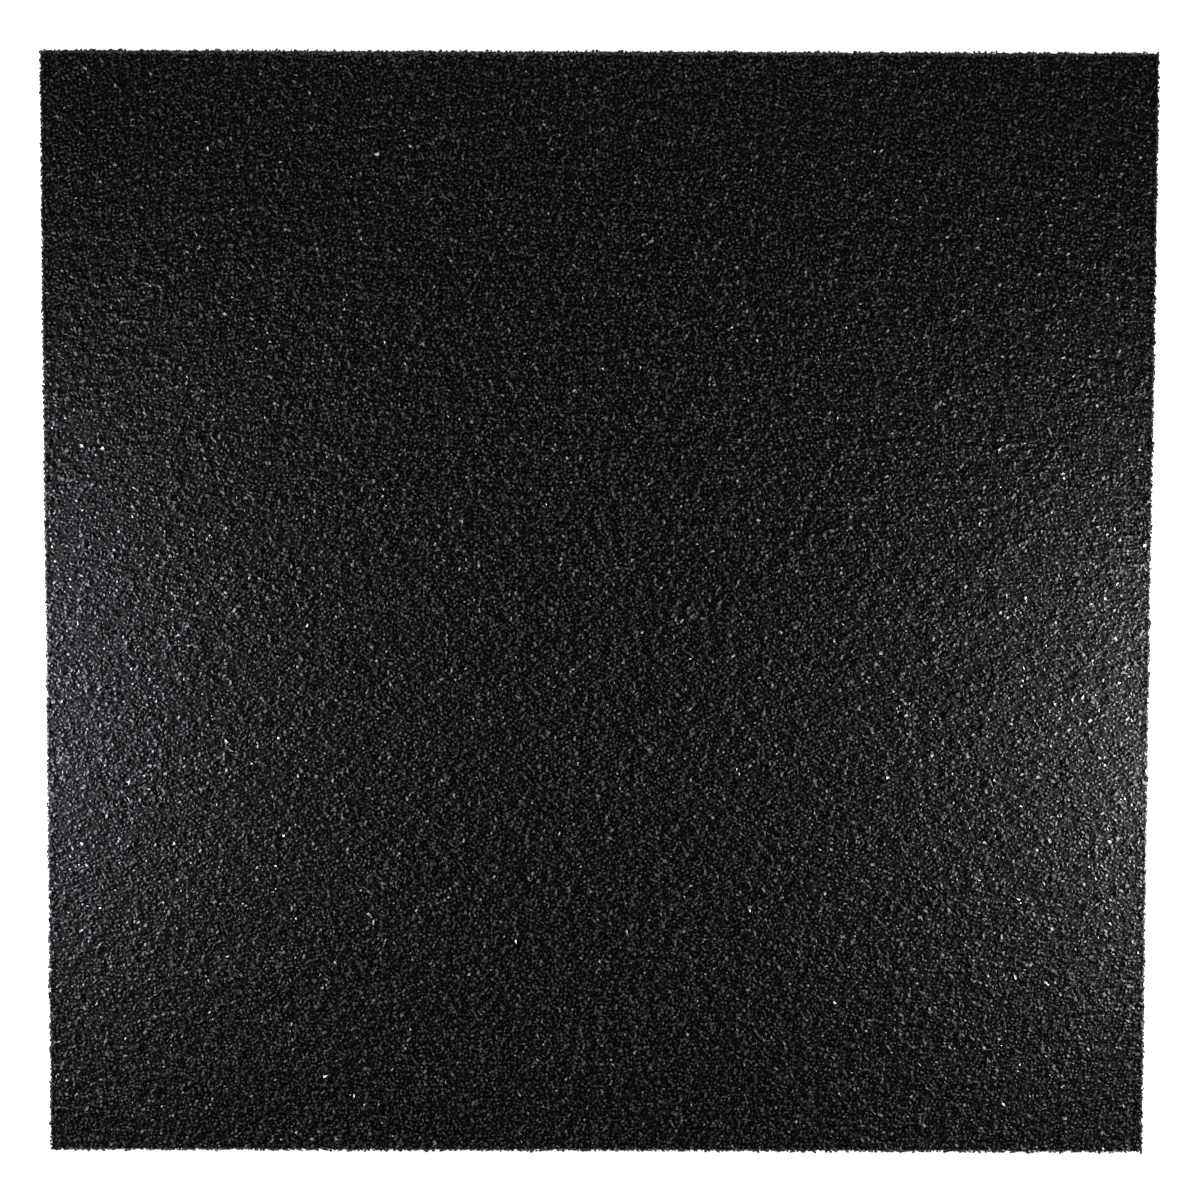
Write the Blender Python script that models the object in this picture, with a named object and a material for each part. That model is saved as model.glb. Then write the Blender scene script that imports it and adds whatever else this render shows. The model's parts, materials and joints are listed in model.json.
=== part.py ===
"""Rubber playground mat: one square slab of bonded rubber crumb, lying flat.

The slab is pressed as one piece, so it is one solid. Its origin is the middle of
the underside, +Z points up out of the walked-on face, and sizes are in metres.
The surface's single granules are a fine relief, a millimetre or so deep, and aren't modelled here.
"""

import math

import bmesh
import bpy

SIDE = 0.500  # both sides of the square
THICKNESS = 0.025
CORNER_RADIUS = 0.0015  # the four upright corners, softened by the loss of crumbs
ARRIS_RADIUS = 0.0010  # the edges round the walked-on face and the underside
CORNER_SEGMENTS = 4
ARRIS_SEGMENTS = 3
RIM_ANGLE = math.radians(60)  # the rims turn by 90 degrees, and the corner facets by far less
SHADING_ANGLE = math.radians(30)  # edges that turn by more than this are shaded sharp

CRUMB_COLOUR = (0.016, 0.016, 0.0175, 1.0)  # carbon black with a faint cold cast
CRUMB_ROUGHNESS = 0.62


def clear_scene():
    for old in list(bpy.data.objects):
        bpy.data.objects.remove(old)


def crumb_material():
    material = bpy.data.materials.new("bonded_rubber_crumb")
    material.use_nodes = True
    shader = material.node_tree.nodes["Principled BSDF"]
    shader.inputs["Base Color"].default_value = CRUMB_COLOUR
    shader.inputs["Roughness"].default_value = CRUMB_ROUGHNESS
    shader.inputs["Metallic"].default_value = 0.0
    return material


def upright_edges(shape):
    """The slab's edges that run from the underside to the walked-on face."""
    return [e for e in shape.edges if abs(e.verts[0].co.z - e.verts[1].co.z) > THICKNESS / 2]


def slab_mesh():
    """A square pulled up to its thickness, with its upright corners rounded."""
    shape = bmesh.new()
    bmesh.ops.create_grid(shape, x_segments=1, y_segments=1, size=SIDE / 2)
    pulled = bmesh.ops.extrude_face_region(shape, geom=shape.faces[:])
    walked_on = [part for part in pulled["geom"] if isinstance(part, bmesh.types.BMVert)]
    bmesh.ops.translate(shape, vec=(0, 0, THICKNESS), verts=walked_on)
    bmesh.ops.recalc_face_normals(shape, faces=shape.faces[:])
    bmesh.ops.bevel(
        shape,
        geom=upright_edges(shape),
        offset=CORNER_RADIUS,
        offset_type="OFFSET",
        segments=CORNER_SEGMENTS,
        profile=0.5,
        affect="EDGES",
    )
    mesh = bpy.data.meshes.new("rubber_mat")
    shape.to_mesh(mesh)
    shape.free()
    return mesh


def soften_rims(slab):
    """Rounds the edges of the walked-on face and of the underside."""
    rim = slab.modifiers.new("softened_rims", "BEVEL")
    rim.width = ARRIS_RADIUS
    rim.segments = ARRIS_SEGMENTS
    rim.limit_method = "ANGLE"
    rim.angle_limit = RIM_ANGLE


def rubber_mat():
    slab = bpy.data.objects.new("rubber_mat", slab_mesh())
    bpy.context.scene.collection.objects.link(slab)
    slab.data.materials.append(crumb_material())
    slab.data.shade_smooth()
    slab.data.set_sharp_from_angle(angle=SHADING_ANGLE)
    soften_rims(slab)
    return slab


clear_scene()
rubber_mat()
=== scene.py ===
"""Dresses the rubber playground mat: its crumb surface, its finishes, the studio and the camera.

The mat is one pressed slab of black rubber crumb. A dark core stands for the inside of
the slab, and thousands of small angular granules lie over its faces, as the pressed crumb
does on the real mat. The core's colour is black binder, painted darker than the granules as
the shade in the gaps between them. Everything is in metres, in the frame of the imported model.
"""

import itertools
import json
import math

import bpy
from bpy.props import (
    FloatProperty,
    FloatVectorProperty,
    IntProperty,
    PointerProperty,
)
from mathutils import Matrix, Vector

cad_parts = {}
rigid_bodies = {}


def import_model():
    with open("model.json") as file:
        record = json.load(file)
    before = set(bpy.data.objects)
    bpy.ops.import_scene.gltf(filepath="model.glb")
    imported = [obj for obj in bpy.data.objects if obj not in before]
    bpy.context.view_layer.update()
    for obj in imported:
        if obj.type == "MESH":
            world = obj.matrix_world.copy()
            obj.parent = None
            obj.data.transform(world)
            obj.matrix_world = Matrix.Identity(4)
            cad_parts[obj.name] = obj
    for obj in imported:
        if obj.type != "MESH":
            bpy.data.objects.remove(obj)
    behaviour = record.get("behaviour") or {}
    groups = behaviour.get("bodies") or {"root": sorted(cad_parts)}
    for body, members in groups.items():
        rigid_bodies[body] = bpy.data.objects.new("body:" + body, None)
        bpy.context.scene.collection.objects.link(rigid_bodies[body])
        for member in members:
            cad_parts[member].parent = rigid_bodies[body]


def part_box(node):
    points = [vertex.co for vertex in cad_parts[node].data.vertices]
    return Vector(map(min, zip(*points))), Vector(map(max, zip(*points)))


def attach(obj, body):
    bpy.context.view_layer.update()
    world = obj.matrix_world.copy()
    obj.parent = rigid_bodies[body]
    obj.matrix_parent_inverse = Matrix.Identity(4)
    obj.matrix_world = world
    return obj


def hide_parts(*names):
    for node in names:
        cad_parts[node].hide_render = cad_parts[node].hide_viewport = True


bl_info = {
    "name": "Crumb Mat",
    "version": (1, 0, 0),
    "blender": (4, 5, 0),
    "location": "3D View > Sidebar > Crumb Mat",
    "description": "Models the crumb surface of a pressed rubber mat, and a studio to show it in",
    "category": "Add Mesh",
}

SLAB = "rubber_mat"
BODY = "root"

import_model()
SLAB_LOW, SLAB_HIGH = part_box(SLAB)
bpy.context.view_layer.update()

SIDE = SLAB_HIGH.x - SLAB_LOW.x
THICKNESS = SLAB_HIGH.z - SLAB_LOW.z
HALF = SIDE / 2

MM = 0.001
PIECE_LIMIT = 200_000  # triangles in one piece
WHITE = (1, 1, 1)

# Names that more than one function looks up
GRANULE_RUBBER = "granule_rubber"
GRANULE_SHAPES = "granule_shapes"
GRANULE_SHADE = "granule_shade"  # one number for each granule, read by its material
# The facet number sets each facet's gloss, and the lowest numbers also pick the few facets painted pale as
# glints: painted highlights
FACET_GLOSS_AND_GLINT = "facet_gloss_and_glint"  # one number for each facet

# Finishes. The scale of a noise is roughly the number of its grains in a metre
TEAR_SCALE = 2400
TEAR_DEPTH = 0.15 * MM
PATCH_SCALE = 650
PATCH_STOPS = (0.38, 0.62)  # where the core's patches are all dark, and all light
CORE_RELIEF_SCALE = 900
CORE_RELIEF_DEPTH = 0.5 * MM
CORE_RELIEF_STRENGTH = 0.8
CORE_ROUGHNESS = 0.7
FLOOR_ROUGHNESS = 0.9

STRAY_CHIPS = (
    (0.0, (0.42, 0.40, 0.24)),  # pale yellow
    (0.4, (0.55, 0.55, 0.52)),  # chalky white
    (0.7, (0.10, 0.06, 0.035)),  # brown
    (1.0, (0.03, 0.07, 0.05)),  # grey green
)

# Granule shapes, about 1 across before they are pulled to size
PRISM_RADIUS = 0.6
CHIP_RADIUS = 0.7
SHARD_RADIUS = 0.6
POINT_HEIGHT = 0.5  # from the rim of a chip or shard to its point
SAME_PLACE = 0.01  # places nearer than this count as one
STRETCHES = (
    (1.0, 1.0, 1.0),
    (1.25, 0.8, 0.8),
    (0.8, 1.25, 1.0),
    (1.1, 0.9, 1.3),
)

CORE_BEVEL = 0.5 * MM  # along the edges of the dense core

# The fields, which are the plain faces that granules are strewn over
RIM_MARGIN = 0.6 * MM  # how far the fields lie inside the edge faces, and end short of the rims
FIELD_REACH = HALF - RIM_MARGIN
TOP_FIELD_DEPTH = 0.8 * MM
UNDERSIDE_FIELD_HEIGHT = 0.6 * MM
LOOSE_BAND = 4 * MM  # height of the field of loose granules, at the top of the far edge face

# How granules lie that differ from those in the settings. A lift is the lowest and highest
# place of their middles over the field
LOOSE_LIFT = (0.1 * MM, 1.1 * MM)
LOOSE_LARGEST = 1.0
PRESSED_LIFT = (-0.5 * MM, 0.5 * MM)
PRESSED_SCALE = (1.2, 1.9)

# Random draws
WAVES_PER_METRE = 50
POINTS_TRIED = 6.0  # for each square of the spacing, before those that lie too close are dropped
EDGE_SEED = 11  # this and the next two are added to the seed in the settings
UNDERSIDE_SEED = 12
LOOSE_SEED = 14
SEEDS_APART = 100  # room for the draws of one strewing
RANDOM_SOCKETS = {  # the first value input and the output of a Random Value node
    "FLOAT_VECTOR": (0, 0),
    "FLOAT": (2, 1),
    "INT": (4, 2),
}

# Studio
FLOOR_SIDE = 30
FLOOR_GAP = 0.3 * MM  # keeps the floor and the underside from lying in one plane
SENSOR_WIDTH = 36  # in millimetres, as Blender measures it
NEAREST_SEEN = 0.01
FURTHEST_SEEN = 100


class CrumbSizes(bpy.types.PropertyGroup):
    """Sizes of the granules and how they lie."""

    length: FloatProperty(
        name="Granule length",
        description="Length of a middling granule",
        default=1.6 * MM,
        unit="LENGTH",
    )
    width: FloatProperty(
        name="Granule width",
        description="Width of a middling granule",
        default=1.2 * MM,
        unit="LENGTH",
    )
    height: FloatProperty(
        name="Granule height",
        description="Height of a middling granule",
        default=1.2 * MM,
        unit="LENGTH",
    )
    top_spacing: FloatProperty(
        name="Top spacing",
        description="Smallest distance between granules on the walked-on face",
        default=1.32 * MM,
        unit="LENGTH",
    )
    edge_spacing: FloatProperty(
        name="Edge spacing",
        description="Smallest distance between granules on the four edge faces",
        default=1.30 * MM,
        unit="LENGTH",
    )
    underside_spacing: FloatProperty(
        name="Underside spacing",
        description="Smallest distance between granules on the underside",
        default=2.35 * MM,
        unit="LENGTH",
    )
    top_inset: FloatProperty(
        name="Top inset",
        description="How far the dense core lies under the walked-on face",
        default=1.8 * MM,
        unit="LENGTH",
    )
    side_inset: FloatProperty(
        name="Side inset",
        description="How far the dense core lies inside the four edge faces",
        default=0.8 * MM,
        unit="LENGTH",
    )
    bottom_inset: FloatProperty(
        name="Bottom inset",
        description="How far the dense core lies over the underside",
        default=0.7 * MM,
        unit="LENGTH",
    )
    tilt: FloatProperty(
        name="Tilt",
        description="Largest tilt of a granule of the top or the edges out of its face",
        default=math.radians(40),
        subtype="ANGLE",
    )
    smallest: FloatProperty(name="Smallest", description="Scale of the smallest granules", default=0.7)
    largest: FloatProperty(name="Largest", description="Scale of the largest granules", default=1.2)
    sink: FloatProperty(
        name="Sink",
        description="How deep the middle of the deepest granule lies under the field, waves aside",
        default=0.9 * MM,
        unit="LENGTH",
    )
    rise: FloatProperty(
        name="Rise",
        description="How high the middle of the highest granule lies over the field, waves aside",
        default=0.35 * MM,
        unit="LENGTH",
    )
    edge_sink: FloatProperty(
        name="Edge sink",
        description="How deep the middle of the deepest granule of an edge face lies under its field",
        default=0.4 * MM,
        unit="LENGTH",
    )
    proud: FloatProperty(
        name="Proud",
        description="How far granules may stand out of the edge faces",
        default=0.4 * MM,
        unit="LENGTH",
    )
    loose_proud: FloatProperty(
        name="Loose proud",
        description="How far the loose granules may stand out of the far edge, which is the ragged one",
        default=1.3 * MM,
        unit="LENGTH",
    )
    loose_spacing: FloatProperty(
        name="Loose spacing",
        description="Smallest distance between the loose granules of the far edge",
        default=1.7 * MM,
        unit="LENGTH",
    )
    wave: FloatProperty(
        name="Wave",
        description="Height of the slow unevenness of the pressed faces",
        default=0.3 * MM,
        unit="LENGTH",
    )
    ragged: FloatProperty(name="Ragged", description="How far corners are torn out of true", default=0.22)
    seed: IntProperty(name="Seed", description="Start of the random draws", default=7)


class CrumbColours(bpy.types.PropertyGroup):
    """Colours of the rubber, linear."""

    dark: FloatVectorProperty(
        name="Dark granule",
        description="Colour of the darkest granules",
        default=(0.006, 0.006, 0.006),
        subtype="COLOR",
        size=3,
    )
    light: FloatVectorProperty(
        name="Light granule",
        description="Colour of the palest black granules",
        default=(0.018, 0.018, 0.018),
        subtype="COLOR",
        size=3,
    )
    glossiest: FloatProperty(
        name="Glossiest",
        description="Roughness of the glossiest facets",
        default=0.15,
        min=0.0,
        max=1.0,
        subtype="FACTOR",
    )
    dullest: FloatProperty(
        name="Dullest",
        description="Roughness of the dullest facets",
        default=0.85,
        min=0.0,
        max=1.0,
        subtype="FACTOR",
    )
    # The next two settings paint a few facets pale as glints: painted highlights, not pale rubber
    painted_glint: FloatVectorProperty(
        name="Fleck",
        description="Colour of the palest facets",
        default=(0.43, 0.43, 0.42),
        subtype="COLOR",
        size=3,
    )
    painted_glint_share: FloatProperty(
        name="Fleck share",
        description="Share of the facets that are pale",
        default=0.006,
        precision=4,
    )
    stray_share: FloatProperty(
        name="Stray share",
        description="Share of the granules that come from other rubber and aren't black",
        default=0.00015,
        precision=5,
    )
    gloss_power: FloatProperty(
        name="Gloss power",
        description="The smaller, the fewer facets are glossy",
        default=0.3,
        min=0.05,
        max=2.0,
    )
    tear: FloatProperty(
        name="Tear",
        description="Strength of the fine torn relief on each granule",
        default=0.5,
        min=0.0,
        max=1.0,
        subtype="FACTOR",
    )
    # The core's colours are those of black binder, painted darker than the granules as the shade that falls
    # into the gaps between them: painted shade
    core_dark_and_gap_shade: FloatVectorProperty(
        name="Dark core",
        description="Darkest colour of the binder and crumb between the granules",
        default=(0.0015, 0.0015, 0.0015),
        subtype="COLOR",
        size=3,
    )
    core_light_and_gap_shade: FloatVectorProperty(
        name="Light core",
        description="Lightest colour of the binder and crumb between the granules",
        default=(0.0075, 0.0075, 0.0075),
        subtype="COLOR",
        size=3,
    )
    core_shine: FloatProperty(
        name="Core shine",
        description="Specular level of the binder between the granules",
        default=0.13,
        min=0.0,
        max=1.0,
        subtype="FACTOR",
    )


class StudioSettings(bpy.types.PropertyGroup):
    """Light and camera."""

    left_power: FloatProperty(
        name="Left power",
        description="Power of the low softbox beside the left edge",
        default=3.25,
        unit="POWER",
    )
    right_power: FloatProperty(
        name="Right power",
        description="Power of the low softbox beside the right edge",
        default=3.7,
        unit="POWER",
    )
    left_offset: FloatProperty(
        name="Left offset",
        description="Place of the left softbox along Y",
        default=-0.043,
        unit="LENGTH",
    )
    right_offset: FloatProperty(
        name="Right offset",
        description="Place of the right softbox along Y",
        default=-0.06,
        unit="LENGTH",
    )
    left_length: FloatProperty(
        name="Left length",
        description="Length of the left softbox, along the mat's edge",
        default=0.16,
        unit="LENGTH",
    )
    right_length: FloatProperty(
        name="Right length",
        description="Length of the right softbox, along the mat's edge",
        default=0.12,
        unit="LENGTH",
    )
    left_colour: FloatVectorProperty(
        name="Left colour",
        description="Colour of the left softbox",
        default=(0.98, 0.97, 1.08),
        subtype="COLOR",
        size=3,
    )
    right_colour: FloatVectorProperty(
        name="Right colour",
        description="Colour of the right softbox",
        default=(0.985, 0.98, 1.04),
        subtype="COLOR",
        size=3,
    )
    side_distance: FloatProperty(
        name="Side distance",
        description="How far the low softboxes stand from the middle of the mat",
        default=0.37,
        unit="LENGTH",
    )
    side_height: FloatProperty(
        name="Side height",
        description="Height of the low softboxes over the floor",
        default=0.075,
        unit="LENGTH",
    )
    side_width: FloatProperty(
        name="Side width",
        description="Width of the low softboxes",
        default=0.08,
        unit="LENGTH",
    )
    back_power: FloatProperty(
        name="Back power",
        description="Power of the weak softbox beyond the far edge",
        default=0.12,
        unit="POWER",
    )
    back_distance: FloatProperty(
        name="Back distance",
        description="How far the weak softbox stands from the middle of the mat",
        default=0.36,
        unit="LENGTH",
    )
    back_length: FloatProperty(
        name="Back length",
        description="Length of the weak softbox, along the mat's far edge",
        default=0.44,
        unit="LENGTH",
    )
    strip_power: FloatProperty(
        name="Strip power",
        description="Power of the strips before and behind the mat, which light only its edge faces",
        default=0.35,
        unit="POWER",
    )
    strip_height: FloatProperty(
        name="Strip height",
        description="Height of the middle of the strips over the floor",
        default=0.013,
        unit="LENGTH",
    )
    strip_width: FloatProperty(
        name="Strip width",
        description="Width of the strips, which end lower than the top of the mat",
        default=0.018,
        unit="LENGTH",
    )
    sky: FloatProperty(
        name="Sky",
        description="Brightness of the even light from all round",
        default=0.267,
    )
    floor_glow: FloatProperty(
        name="Floor glow",
        description="Light that the white floor gives off by itself",
        default=0.85,
    )
    floor_bounce: FloatProperty(
        name="Floor bounce",
        description="Share of the light that the floor throws back",
        default=0.85,
        min=0.0,
        max=1.0,
        subtype="FACTOR",
    )
    focal_length: FloatProperty(
        name="Focal length",
        description="Focal length on a 36 mm sensor, in millimetres",
        default=144.0,
    )
    camera_place: FloatVectorProperty(
        name="Camera place",
        description="Where the camera stands over the mat",
        default=(-0.0016, 0.25, 2.1778),
        subtype="TRANSLATION",
        unit="LENGTH",
        size=3,
    )
    camera_turn: FloatVectorProperty(
        name="Camera turn",
        description="How the camera, looking straight down, is turned about X, Y and Z",
        default=(math.radians(-6.512), math.radians(-0.048), math.radians(0.163)),
        subtype="EULER",
        size=3,
    )


def settings():
    """The add-on's own settings on the open scene."""
    scene = bpy.context.scene
    return scene.crumb_sizes, scene.crumb_colours, scene.crumb_studio


def deselect_all():
    if bpy.context.object and bpy.context.object.mode != "OBJECT":
        bpy.ops.object.mode_set(mode="OBJECT")
    bpy.ops.object.select_all(action="DESELECT")


def triangle_count(piece):
    return sum(len(face.vertices) - 2 for face in piece.data.polygons)


def finish_piece(piece, name):
    """Names a piece, checks its size and lets it ride on the mat's only body."""
    piece.name = name
    piece.data.name = name
    triangles = triangle_count(piece)
    if triangles > PIECE_LIMIT:
        raise RuntimeError(f"{name} has {triangles} triangles")
    print(f"{name}: {triangles} triangles")
    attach(piece, BODY)


# Materials


def add_node(tree, kind, **values):
    node = tree.nodes.new(kind)
    for key, value in values.items():
        setattr(node, key, value)
    return node


def new_material(name):
    material = bpy.data.materials.new(name)
    material.use_nodes = True
    return material, material.node_tree, material.node_tree.nodes["Principled BSDF"]


def attribute(tree, name):
    node = add_node(tree, "ShaderNodeAttribute", attribute_name=name)
    return node.outputs["Fac"]


def calculated(tree, operation, source, value):
    """A Math node that works on the source and a fixed value."""
    node = add_node(tree, "ShaderNodeMath", operation=operation)
    tree.links.new(source, node.inputs[0])
    node.inputs[1].default_value = value
    return node.outputs["Value"]


def remap(tree, source, low, high, new_low, new_high):
    """A Map Range node from low..high to new_low..new_high."""
    node = add_node(tree, "ShaderNodeMapRange")
    tree.links.new(source, node.inputs["Value"])
    node.inputs["From Min"].default_value = low
    node.inputs["From Max"].default_value = high
    node.inputs["To Min"].default_value = new_low
    node.inputs["To Max"].default_value = new_high
    return node.outputs["Result"]


def object_noise(tree, scale, detail):
    place = add_node(tree, "ShaderNodeTexCoord")
    noise = add_node(tree, "ShaderNodeTexNoise")
    tree.links.new(place.outputs["Object"], noise.inputs["Vector"])
    noise.inputs["Scale"].default_value = scale
    noise.inputs["Detail"].default_value = detail
    return noise.outputs["Fac"]


def ramp(tree, source, *stops):
    """A colour ramp; each stop is its place and its colour."""
    node = add_node(tree, "ShaderNodeValToRGB")
    elements = node.color_ramp.elements
    while len(elements) < len(stops):
        elements.new(0.5)
    for element, (place, colour) in zip(elements, stops):
        element.position = place
        element.color = (*colour, 1)
    tree.links.new(source, node.inputs["Fac"])
    return node.outputs["Color"]


def replaced_below(tree, source, share, usual, rare):
    """The usual colour, or the rare one where the source is lower than the share."""
    node = add_node(tree, "ShaderNodeMix", data_type="RGBA")
    tree.links.new(calculated(tree, "LESS_THAN", source, share), node.inputs["Factor"])
    tree.links.new(usual, node.inputs["A"])
    tree.links.new(rare, node.inputs["B"])
    return node.outputs["Result"]


def add_relief(tree, shader, scale, strength, depth):
    """Fine relief from noise, as the shader's normal."""
    bump = add_node(tree, "ShaderNodeBump")
    bump.inputs["Strength"].default_value = strength
    bump.inputs["Distance"].default_value = depth
    tree.links.new(object_noise(tree, scale, detail=2.0), bump.inputs["Height"])
    tree.links.new(bump.outputs["Normal"], shader.inputs["Normal"])


def granule_colour(tree, shade, gloss):
    """Black in many shades, with a few facets painted pale as glints (painted highlights) and, more rarely,
    a chip of other rubber.
    """
    _, colours, _ = settings()
    black = ramp(tree, shade, (0.0, colours.dark), (1.0, colours.light))
    # Facets whose gloss number lies under the share are painted pale, fading to the palest black: painted
    # highlights that stand for glints
    palest = remap(tree, gloss, 0, colours.painted_glint_share, 0, 1)
    pale = ramp(tree, palest, (0.0, colours.painted_glint), (1.0, colours.light))
    with_painted_glints = replaced_below(tree, gloss, colours.painted_glint_share, black, pale)
    kind = remap(tree, shade, 0, colours.stray_share, 0, 1)
    return replaced_below(tree, shade, colours.stray_share, with_painted_glints, ramp(tree, kind, *STRAY_CHIPS))


def granule_rubber():
    """Black crumb rubber: each granule has its own shade, each facet its gloss, a few facets are painted
    pale as glints (painted highlights), and all are finely torn.
    """
    _, colours, _ = settings()
    material, tree, shader = new_material(GRANULE_RUBBER)
    shade = attribute(tree, GRANULE_SHADE)
    gloss = attribute(tree, FACET_GLOSS_AND_GLINT)
    tree.links.new(granule_colour(tree, shade, gloss), shader.inputs["Base Color"])
    few_glossy = calculated(tree, "POWER", gloss, colours.gloss_power)
    roughness = remap(tree, few_glossy, 0, 1, colours.glossiest, colours.dullest)
    tree.links.new(roughness, shader.inputs["Roughness"])
    add_relief(tree, shader, TEAR_SCALE, colours.tear, TEAR_DEPTH)
    return material


def core_rubber_and_gap_shade():
    """The crumb and binder that show in the gaps between the granules, painted darker than the granules as
    painted shade in the gaps.
    """
    _, colours, _ = settings()
    material, tree, shader = new_material("core_rubber_and_gap_shade")
    all_dark, all_light = PATCH_STOPS
    noise = object_noise(tree, PATCH_SCALE, detail=1.0)
    patches = ramp(tree, noise, (all_dark, colours.core_dark_and_gap_shade), (all_light, colours.core_light_and_gap_shade))
    tree.links.new(patches, shader.inputs["Base Color"])
    shader.inputs["Roughness"].default_value = CORE_ROUGHNESS
    shader.inputs["Specular IOR Level"].default_value = colours.core_shine
    add_relief(tree, shader, CORE_RELIEF_SCALE, CORE_RELIEF_STRENGTH, CORE_RELIEF_DEPTH)
    return material


# Granule shapes


def model_granule(name, add_primitive, size, ragged, seed):
    """One granule: a primitive of a few faces, torn out of true and pulled to size."""
    deselect_all()
    add_primitive()
    granule = bpy.context.object
    granule.name = name
    bpy.ops.object.mode_set(mode="EDIT")
    bpy.ops.mesh.select_all(action="SELECT")
    bpy.ops.transform.vertex_random(offset=ragged, uniform=0.0, normal=0.0, seed=seed)
    bpy.ops.transform.resize(value=size, center_override=(0, 0, 0))
    bpy.ops.mesh.quads_convert_to_tris()
    bpy.ops.mesh.normals_make_consistent(inside=False)
    bpy.ops.object.mode_set(mode="OBJECT")
    return granule


def pull_base(depth):
    """Pulls the middle of the active cone's base down to a point."""
    cone = bpy.context.object
    base = min(vertex.co.z for vertex in cone.data.vertices)
    bpy.ops.object.mode_set(mode="EDIT")
    bpy.ops.mesh.select_mode(type="VERT")
    bpy.ops.mesh.select_all(action="DESELECT")
    bpy.ops.object.mode_set(mode="OBJECT")
    for vertex in cone.data.vertices:
        vertex.select = vertex.co.z < base + SAME_PLACE and vertex.co.xy.length < SAME_PLACE
    bpy.ops.object.mode_set(mode="EDIT")
    bpy.ops.transform.translate(value=(0, 0, -depth))
    bpy.ops.object.mode_set(mode="OBJECT")


def add_pointed(sides, radius):
    """A shape that comes to a point above and below its rim."""
    bpy.ops.mesh.primitive_cone_add(
        vertices=sides, radius1=radius, depth=POINT_HEIGHT, end_fill_type="TRIFAN"
    )
    pull_base(POINT_HEIGHT)


def add_prism():
    """A three-sided bar that lies along X."""
    bpy.ops.mesh.primitive_cylinder_add(
        vertices=3, radius=PRISM_RADIUS, depth=1.0, rotation=(0, math.pi / 2, 0)
    )
    bpy.ops.object.transform_apply(location=False, rotation=True, scale=False)


def add_chip():
    """A thick three-sided chip."""
    add_pointed(3, CHIP_RADIUS)


def add_shard():
    """A four-sided shard."""
    add_pointed(4, SHARD_RADIUS)


def granule_shapes(material):
    """A collection of granules that the faces are strewn with."""
    sizes, _, _ = settings()
    shapes = bpy.data.collections.new(GRANULE_SHAPES)
    bpy.context.scene.collection.children.link(shapes)
    pairs = itertools.product(STRETCHES, (add_prism, add_chip, add_shard))
    for number, ((along, across, upwards), add_primitive) in enumerate(pairs):
        size = (sizes.length * along, sizes.width * across, sizes.height * upwards)
        name = f"granule_{number:02d}"
        granule = model_granule(name, add_primitive, size, sizes.ragged, number + 1)
        granule.data.materials.append(material)
        for home in list(granule.users_collection):
            home.objects.unlink(granule)
        shapes.objects.link(granule)
    return shapes


def shared_shapes():
    """The granule shapes that all the crumb operators use, made once with their material."""
    shapes = bpy.data.collections.get(GRANULE_SHAPES)
    if shapes is None:
        shapes = granule_shapes(bpy.data.materials.get(GRANULE_RUBBER) or granule_rubber())
    return shapes


def forget_shapes(shapes):
    for granule in list(shapes.objects):
        bpy.data.objects.remove(granule)
    bpy.data.collections.remove(shapes)


# Strewing


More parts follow.
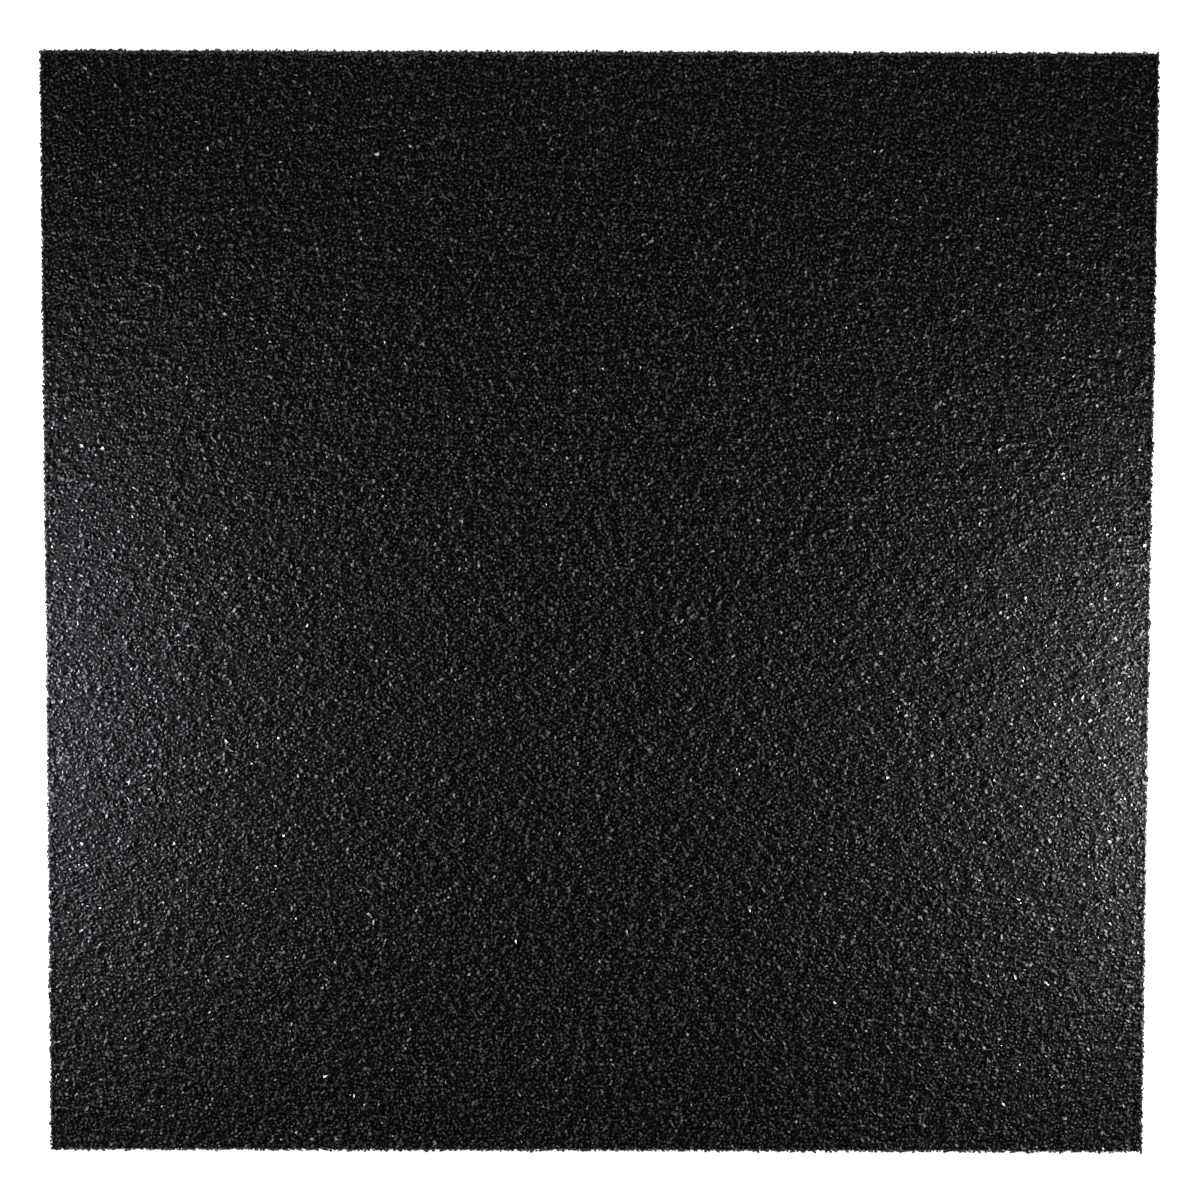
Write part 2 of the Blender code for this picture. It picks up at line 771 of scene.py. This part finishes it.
class Strewing:
    """Builds the Geometry Nodes tree that strews granules over a field and joins them into one mesh."""

    def __init__(self, name, shapes, spacing, seed):
        self.tree = bpy.data.node_groups.new(name, "GeometryNodeTree")
        self.tree.interface.new_socket("Field", in_out="INPUT", socket_type="NodeSocketGeometry")
        self.tree.interface.new_socket("Crumb", in_out="OUTPUT", socket_type="NodeSocketGeometry")
        self.shapes = shapes
        self.spacing = spacing
        self.seed = seed
        self.drawn = 0

    def node(self, kind, **values):
        return add_node(self.tree, kind, **values)

    def link(self, source, target):
        self.tree.links.new(source, target)

    def draw(self, kind, low, high):
        """A random value for each point, granule or facet."""
        self.drawn += 1
        node = self.node("FunctionNodeRandomValue", data_type=kind)
        first, output = RANDOM_SOCKETS[kind]
        node.inputs[first].default_value = low
        node.inputs[first + 1].default_value = high
        node.inputs["Seed"].default_value = self.seed * SEEDS_APART + self.drawn
        return node.outputs[output]

    def points(self, field):
        strew = self.node("GeometryNodeDistributePointsOnFaces", distribute_method="POISSON")
        strew.inputs["Distance Min"].default_value = self.spacing
        strew.inputs["Density Max"].default_value = POINTS_TRIED / self.spacing**2
        strew.inputs["Seed"].default_value = self.seed
        self.link(field, strew.inputs["Mesh"])
        return strew

    def lifted(self, strew, lift, wave):
        """Moves each point along the face's normal, by chance and with the slow waves of the face."""
        lowest, highest = lift
        swell = self.node("ShaderNodeTexNoise")
        swell.inputs["Scale"].default_value = WAVES_PER_METRE
        swell.inputs["Detail"].default_value = 1.0
        height = self.node("ShaderNodeMath", operation="MULTIPLY_ADD")
        self.link(swell.outputs["Fac"], height.inputs[0])
        height.inputs[1].default_value = 2 * wave
        self.link(self.draw("FLOAT", lowest - wave, highest - wave), height.inputs[2])
        step = self.node("ShaderNodeVectorMath", operation="SCALE")
        self.link(strew.outputs["Normal"], step.inputs[0])
        self.link(height.outputs["Value"], step.inputs["Scale"])
        place = self.node("GeometryNodeSetPosition")
        self.link(strew.outputs["Points"], place.inputs["Geometry"])
        self.link(step.outputs["Vector"], place.inputs["Offset"])
        return place.outputs["Geometry"]

    def turned(self, strew, tilt):
        """Turns each granule freely in the face and tilts it a little out of it."""
        turn = self.node("FunctionNodeRotateRotation", rotation_space="LOCAL")
        self.link(strew.outputs["Rotation"], turn.inputs["Rotation"])
        angles = self.draw("FLOAT_VECTOR", (-tilt, -tilt, 0), (tilt, tilt, math.tau))
        euler = self.node("FunctionNodeEulerToRotation")
        self.link(angles, euler.inputs["Euler"])
        self.link(euler.outputs["Rotation"], turn.inputs["Rotate By"])
        return turn.outputs["Rotation"]

    def placed(self, points, rotation, scale):
        """Puts one of the shapes on each point, in a size between the two scales."""
        choose = self.node("GeometryNodeCollectionInfo")
        choose.inputs["Collection"].default_value = self.shapes
        choose.inputs["Separate Children"].default_value = True
        choose.inputs["Reset Children"].default_value = True
        place = self.node("GeometryNodeInstanceOnPoints")
        place.inputs["Pick Instance"].default_value = True
        self.link(points, place.inputs["Points"])
        self.link(choose.outputs["Instances"], place.inputs["Instance"])
        self.link(self.draw("INT", 0, len(self.shapes.objects) - 1), place.inputs["Instance Index"])
        self.link(rotation, place.inputs["Rotation"])
        self.link(self.draw("FLOAT", *scale), place.inputs["Scale"])
        return place.outputs["Instances"]

    def marked(self, geometry, name, domain):
        """Gives each granule or facet its own number from 0 to 1, for the material to read."""
        store = self.node("GeometryNodeStoreNamedAttribute", data_type="FLOAT", domain=domain)
        store.inputs["Name"].default_value = name
        self.link(geometry, store.inputs["Geometry"])
        self.link(self.draw("FLOAT", 0.0, 1.0), store.inputs["Value"])
        return store.outputs["Geometry"]

    def kept_inside(self, geometry, low, high):
        """Presses every corner that sticks out back to the box from low to high."""
        here = self.node("GeometryNodeInputPosition")
        floor = self.node("ShaderNodeVectorMath", operation="MAXIMUM")
        ceiling = self.node("ShaderNodeVectorMath", operation="MINIMUM")
        place = self.node("GeometryNodeSetPosition")
        floor.inputs[1].default_value = low
        ceiling.inputs[1].default_value = high
        self.link(here.outputs["Position"], floor.inputs[0])
        self.link(floor.outputs["Vector"], ceiling.inputs[0])
        self.link(ceiling.outputs["Vector"], place.inputs["Position"])
        self.link(geometry, place.inputs["Geometry"])
        return place.outputs["Geometry"]

    def build(self, lift, wave, tilt, scale, box):
        """The whole tree. Lift and scale are each a lowest and a highest value."""
        start = self.node("NodeGroupInput")
        end = self.node("NodeGroupOutput")
        strew = self.points(start.outputs["Field"])
        points = self.lifted(strew, lift, wave)
        instances = self.placed(points, self.turned(strew, tilt), scale)
        instances = self.marked(instances, GRANULE_SHADE, "INSTANCE")
        realize = self.node("GeometryNodeRealizeInstances")
        self.link(instances, realize.inputs["Geometry"])
        facets = self.marked(realize.outputs["Geometry"], FACET_GLOSS_AND_GLINT, "FACE")
        pressed = self.kept_inside(facets, *box)
        self.link(pressed, end.inputs["Crumb"])
        return self.tree


def add_field(centre, width, depth, rotation):
    """A rectangle that faces along its own +Z after it is turned."""
    deselect_all()
    bpy.ops.mesh.primitive_plane_add(size=1.0, location=centre, rotation=rotation)
    field = bpy.context.object
    field.scale = (width, depth, 1)
    bpy.ops.object.transform_apply(location=True, rotation=True, scale=True)
    return field


def joined(fields):
    """Joins the fields into the first of them."""
    deselect_all()
    for field in fields:
        field.select_set(True)
    bpy.context.view_layer.objects.active = fields[0]
    bpy.ops.object.join()
    return fields[0]


def slab_box(proud=0.0):
    """The slab's lowest and highest corner, with its edge faces moved out by proud."""
    reach = HALF + proud
    return (-reach, -reach, 0), (reach, reach, THICKNESS)


def strew_piece(name, field, spacing, seed, **lie):
    """Turns a field into the granules strewn over it, as one finished piece. Lie is what build takes."""
    strewing = Strewing(f"strew_{name}", shared_shapes(), spacing, seed)
    tree = strewing.build(**lie)
    deselect_all()
    field.select_set(True)
    bpy.context.view_layer.objects.active = field
    modifier = field.modifiers.new("strewn_crumb", "NODES")
    modifier.node_group = tree
    bpy.ops.object.modifier_apply(modifier=modifier.name)
    field.data.set_sharp_from_angle(angle=0.0)
    finish_piece(field, name)


class CRUMB_OT_core(bpy.types.Operator):
    """Models the dense core of the slab, which shows dark between the granules: its colour is painted shade
    for the gaps
    """

    bl_idname = "crumb_mat.core"
    bl_label = "Pressed core"

    def execute(self, context):
        sizes, _, _ = settings()
        deselect_all()
        low = sizes.bottom_inset
        high = THICKNESS - sizes.top_inset
        side = SIDE - 2 * sizes.side_inset
        bpy.ops.mesh.primitive_cube_add(size=1.0, location=(0, 0, (low + high) / 2))
        core = context.object
        core.scale = (side, side, high - low)
        bpy.ops.object.transform_apply(location=True, rotation=True, scale=True)
        bpy.ops.object.mode_set(mode="EDIT")
        bpy.ops.mesh.select_all(action="SELECT")
        bpy.ops.mesh.bevel(offset=CORE_BEVEL, segments=2, affect="EDGES")
        bpy.ops.object.mode_set(mode="OBJECT")
        core.data.materials.append(core_rubber_and_gap_shade())
        finish_piece(core, "pressed_core")
        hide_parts(SLAB)
        return {"FINISHED"}


class CRUMB_OT_top(bpy.types.Operator):
    """Strews the granules of the walked-on face, a quarter of the face at a time"""

    bl_idname = "crumb_mat.top"
    bl_label = "Top crumb"

    def execute(self, context):
        sizes, _, _ = settings()
        height = THICKNESS - TOP_FIELD_DEPTH
        quarters = itertools.product((("front", -1), ("back", 1)), (("left", -1), ("right", 1)))
        for number, ((row, side_y), (column, side_x)) in enumerate(quarters):
            centre = (side_x * FIELD_REACH / 2, side_y * FIELD_REACH / 2, height)
            strew_piece(
                f"top_crumb_{row}_{column}",
                add_field(centre, FIELD_REACH, FIELD_REACH, (0, 0, 0)),
                sizes.top_spacing,
                sizes.seed + number,
                lift=(-sizes.sink, sizes.rise),
                wave=sizes.wave,
                tilt=sizes.tilt,
                scale=(sizes.smallest, sizes.largest),
                box=slab_box(),
            )
        return {"FINISHED"}


class CRUMB_OT_edges(bpy.types.Operator):
    """Strews the granules of the four edge faces, and the loose ones of the far edge"""

    bl_idname = "crumb_mat.edges"
    bl_label = "Edge crumb"

    def execute(self, context):
        sizes, _, _ = settings()
        self.add_edges(sizes)
        self.add_loose(sizes)
        return {"FINISHED"}

    def add_edges(self, sizes):
        """Strews the four edge faces as one piece."""
        fields = []
        for turn in range(4):
            angle = turn * math.pi / 2
            centre = (FIELD_REACH * math.sin(angle), -FIELD_REACH * math.cos(angle), THICKNESS / 2)
            height = THICKNESS - 2 * RIM_MARGIN
            fields.append(add_field(centre, 2 * FIELD_REACH, height, (math.pi / 2, 0, angle)))
        strew_piece(
            "edge_crumb",
            joined(fields),
            sizes.edge_spacing,
            sizes.seed + EDGE_SEED,
            lift=(-sizes.edge_sink, sizes.rise),
            wave=sizes.wave,
            tilt=sizes.tilt,
            scale=(sizes.smallest, sizes.largest),
            box=slab_box(sizes.proud),
        )

    def add_loose(self, sizes):
        """Strews loose granules along the upper part of the far edge face."""
        centre = (0, FIELD_REACH, THICKNESS - RIM_MARGIN - LOOSE_BAND / 2)
        strew_piece(
            "loose_crumb",
            add_field(centre, 2 * FIELD_REACH, LOOSE_BAND, (math.pi / 2, 0, math.pi)),
            sizes.loose_spacing,
            sizes.seed + LOOSE_SEED,
            lift=LOOSE_LIFT,
            wave=0.0,
            tilt=2 * sizes.tilt,
            scale=(sizes.smallest, LOOSE_LARGEST),
            box=((-HALF, 0, 0), (HALF, HALF + sizes.loose_proud, THICKNESS)),
        )


class CRUMB_OT_underside(bpy.types.Operator):
    """Strews the granules of the underside, pressed flat by the mould, half of it at a time"""

    bl_idname = "crumb_mat.underside"
    bl_label = "Underside crumb"

    def execute(self, context):
        sizes, _, _ = settings()
        for number, (half, side) in enumerate((("left", -1), ("right", 1))):
            centre = (side * FIELD_REACH / 2, 0, UNDERSIDE_FIELD_HEIGHT)
            strew_piece(
                f"underside_crumb_{half}",
                add_field(centre, FIELD_REACH, 2 * FIELD_REACH, (math.pi, 0, 0)),
                sizes.underside_spacing,
                sizes.seed + UNDERSIDE_SEED + number,
                lift=PRESSED_LIFT,
                wave=0.0,
                tilt=sizes.tilt / 2,
                scale=PRESSED_SCALE,
                box=slab_box(),
            )
        return {"FINISHED"}


# Studio


def add_softbox(name, place, target, size, power, colour=WHITE):
    """A long softbox beside the mat, turned to the target; size is its length and width."""
    data = bpy.data.lights.new(name, "AREA")
    data.shape = "RECTANGLE"
    data.size, data.size_y = size
    data.energy = power
    data.color = colour
    light = bpy.data.objects.new(name, data)
    bpy.context.scene.collection.objects.link(light)
    light.location = place
    aim = Vector(target) - light.location
    light.rotation_euler = aim.to_track_quat("-Z", "Y").to_euler()
    light.visible_camera = False


def add_side_lights(studio):
    """Low softboxes beside the left (-1) and right (1) edges, each turned straight across the mat."""
    boxes = (
        ("left", -1, studio.left_offset, studio.left_length, studio.left_power, studio.left_colour),
        ("right", 1, studio.right_offset, studio.right_length, studio.right_power, studio.right_colour),
    )
    for name, side, offset, length, power, colour in boxes:
        place = (side * studio.side_distance, offset, studio.side_height)
        target = (0, offset, THICKNESS)
        add_softbox(f"{name}_softbox", place, target, (length, studio.side_width), power, colour)


def add_back_light(studio):
    """A weak softbox beyond the far edge, which lifts the far rows of granules."""
    place = (0, studio.back_distance, studio.side_height)
    size = (studio.back_length, studio.side_width)
    add_softbox("back_softbox", place, (0, 0, THICKNESS), size, studio.back_power)


def add_edge_strip(name, side, studio):
    """A strip that stands before (-1) or behind (1) the mat, lower than its top."""
    place = (0, side * studio.side_distance, studio.strip_height)
    target = (0, 0, studio.strip_height)
    add_softbox(name, place, target, (SIDE, studio.strip_width), studio.strip_power)


def set_sky(strength):
    """Even light from all round, and white behind everything that the camera sees."""
    world = bpy.data.worlds.new("studio")
    bpy.context.scene.world = world
    world.use_nodes = True
    tree = world.node_tree
    background = tree.nodes["Background"]
    background.inputs["Color"].default_value = (*WHITE, 1)
    seen = add_node(tree, "ShaderNodeLightPath")
    brightness = remap(tree, seen.outputs["Is Camera Ray"], 0, 1, strength, 1.0)
    tree.links.new(brightness, background.inputs["Strength"])


def floor_material(glow, bounce):
    """White paper whose glow only the camera sees, so that it looks white and doesn't shine on the mat."""
    material, tree, shader = new_material("white_floor")
    shader.inputs["Base Color"].default_value = (bounce, bounce, bounce, 1)
    shader.inputs["Roughness"].default_value = FLOOR_ROUGHNESS
    shader.inputs["Emission Color"].default_value = (*WHITE, 1)
    seen = add_node(tree, "ShaderNodeLightPath")
    brightness = remap(tree, seen.outputs["Is Camera Ray"], 0, 1, 0, glow)
    tree.links.new(brightness, shader.inputs["Emission Strength"])
    return material


def add_camera(studio):
    """Stands the camera where the photograph was taken from."""
    data = bpy.data.cameras.new("camera")
    data.sensor_width = SENSOR_WIDTH
    data.lens = studio.focal_length
    data.clip_start = NEAREST_SEEN
    data.clip_end = FURTHEST_SEEN
    camera = bpy.data.objects.new("camera", data)
    bpy.context.scene.collection.objects.link(camera)
    camera.location = studio.camera_place
    camera.rotation_euler = studio.camera_turn
    bpy.context.scene.camera = camera


class CRUMB_OT_stage(bpy.types.Operator):
    """Lays the white floor, sets the lights and stands the camera"""

    bl_idname = "crumb_mat.stage"
    bl_label = "Studio"

    def execute(self, context):
        _, _, studio = settings()
        deselect_all()
        bpy.ops.mesh.primitive_plane_add(size=FLOOR_SIDE, location=(0, 0, -FLOOR_GAP))
        floor = context.object
        floor.name = "studio_floor"
        floor.data.materials.append(floor_material(studio.floor_glow, studio.floor_bounce))
        add_side_lights(studio)
        add_back_light(studio)
        add_edge_strip("front_strip", -1, studio)
        add_edge_strip("back_strip", 1, studio)
        set_sky(studio.sky)
        add_camera(studio)
        context.scene.view_settings.view_transform = "Standard"
        return {"FINISHED"}


# The add-on


class CRUMB_PT_panel(bpy.types.Panel):
    """Lists the operators and settings"""

    bl_idname = "CRUMB_PT_panel"
    bl_label = "Crumb Mat"
    bl_space_type = "VIEW_3D"
    bl_region_type = "UI"
    bl_category = "Crumb Mat"

    def draw(self, context):
        for group in (context.scene.crumb_sizes, context.scene.crumb_colours, context.scene.crumb_studio):
            box = self.layout.box()
            for key in group.__annotations__:
                box.prop(group, key)
        for operator in OPERATORS:
            self.layout.operator(operator.bl_idname)


SETTINGS = (
    ("crumb_sizes", CrumbSizes),
    ("crumb_colours", CrumbColours),
    ("crumb_studio", StudioSettings),
)
OPERATORS = (CRUMB_OT_core, CRUMB_OT_top, CRUMB_OT_edges, CRUMB_OT_underside, CRUMB_OT_stage)


def register():
    for name, group in SETTINGS:
        bpy.utils.register_class(group)
        setattr(bpy.types.Scene, name, PointerProperty(type=group))
    for operator in OPERATORS:
        bpy.utils.register_class(operator)
    bpy.utils.register_class(CRUMB_PT_panel)


def unregister():
    bpy.utils.unregister_class(CRUMB_PT_panel)
    for operator in reversed(OPERATORS):
        bpy.utils.unregister_class(operator)
    for name, group in reversed(SETTINGS):
        delattr(bpy.types.Scene, name)
        bpy.utils.unregister_class(group)


def main():
    register()
    bpy.ops.crumb_mat.core()
    bpy.ops.crumb_mat.top()
    bpy.ops.crumb_mat.edges()
    bpy.ops.crumb_mat.underside()
    bpy.ops.crumb_mat.stage()
    forget_shapes(bpy.data.collections[GRANULE_SHAPES])


if __name__ == "__main__":
    main()
